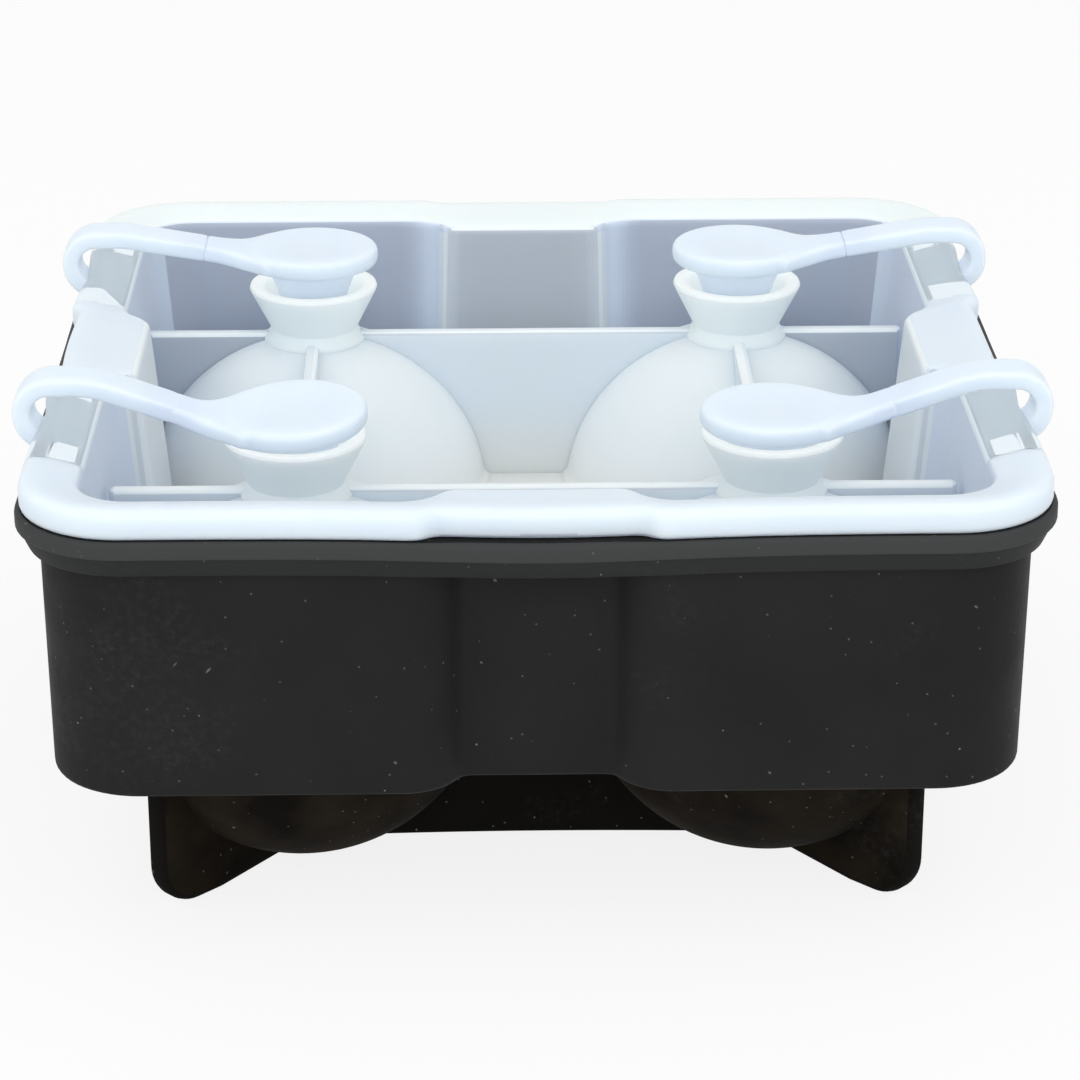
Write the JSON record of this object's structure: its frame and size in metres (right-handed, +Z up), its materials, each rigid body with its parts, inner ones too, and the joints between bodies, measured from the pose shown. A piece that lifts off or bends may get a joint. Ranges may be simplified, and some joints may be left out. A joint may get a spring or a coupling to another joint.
{
  "type": "ice ball mold",
  "caption": "Square silicone mould for ice balls: dark footed tray, clear nesting lid with filling funnels, and tethered stoppers that plug them.",
  "frame": {"origin": "on the table, midway between the four balls", "axes": "+Z up; +X to the right along the stopper straps; +Y to the back"},
  "size_m": [0.13, 0.1258, 0.0661],
  "materials": {
    "black_silicone": "matte moulded silicone with a fine dust",
    "clear_silicone": "satin translucent silicone"
  },
  "bodies": {
    "tray": {"lower_tray": "black_silicone"},
    "lid": {"upper_lid": "clear_silicone"},
    "stopper_front_left": {"stopper_front_left": "clear_silicone", "strap_front_left": "clear_silicone"},
    "stopper_front_right": {"stopper_front_right": "clear_silicone", "strap_front_right": "clear_silicone"},
    "stopper_back_left": {"stopper_back_left": "clear_silicone", "strap_back_left": "clear_silicone"},
    "stopper_back_right": {"stopper_back_right": "clear_silicone", "strap_back_right": "clear_silicone"}
  },
  "joints": [
    {"name": "lid_lift", "type": "slide", "parent": "tray", "child": "lid", "axis": [0, 0, 1], "range_m": [0, 0.045]},
    {"name": "stopper_front_left_hinge", "type": "hinge", "parent": "lid", "child": "stopper_front_left", "pos_m": [-0.06375, -0.03, 0.06135], "axis": [0, -1, 0], "range_deg": [0, 180], "deforming": ["strap_front_left"]},
    {"name": "stopper_front_right_hinge", "type": "hinge", "parent": "lid", "child": "stopper_front_right", "pos_m": [0.06375, -0.03, 0.06135], "axis": [0, 1, 0], "range_deg": [0, 180], "deforming": ["strap_front_right"]},
    {"name": "stopper_back_left_hinge", "type": "hinge", "parent": "lid", "child": "stopper_back_left", "pos_m": [-0.06375, 0.03, 0.06135], "axis": [0, -1, 0], "range_deg": [0, 180], "deforming": ["strap_back_left"]},
    {"name": "stopper_back_right_hinge", "type": "hinge", "parent": "lid", "child": "stopper_back_right", "pos_m": [0.06375, 0.03, 0.06135], "axis": [0, 1, 0], "range_deg": [0, 180], "deforming": ["strap_back_right"]}
  ]
}
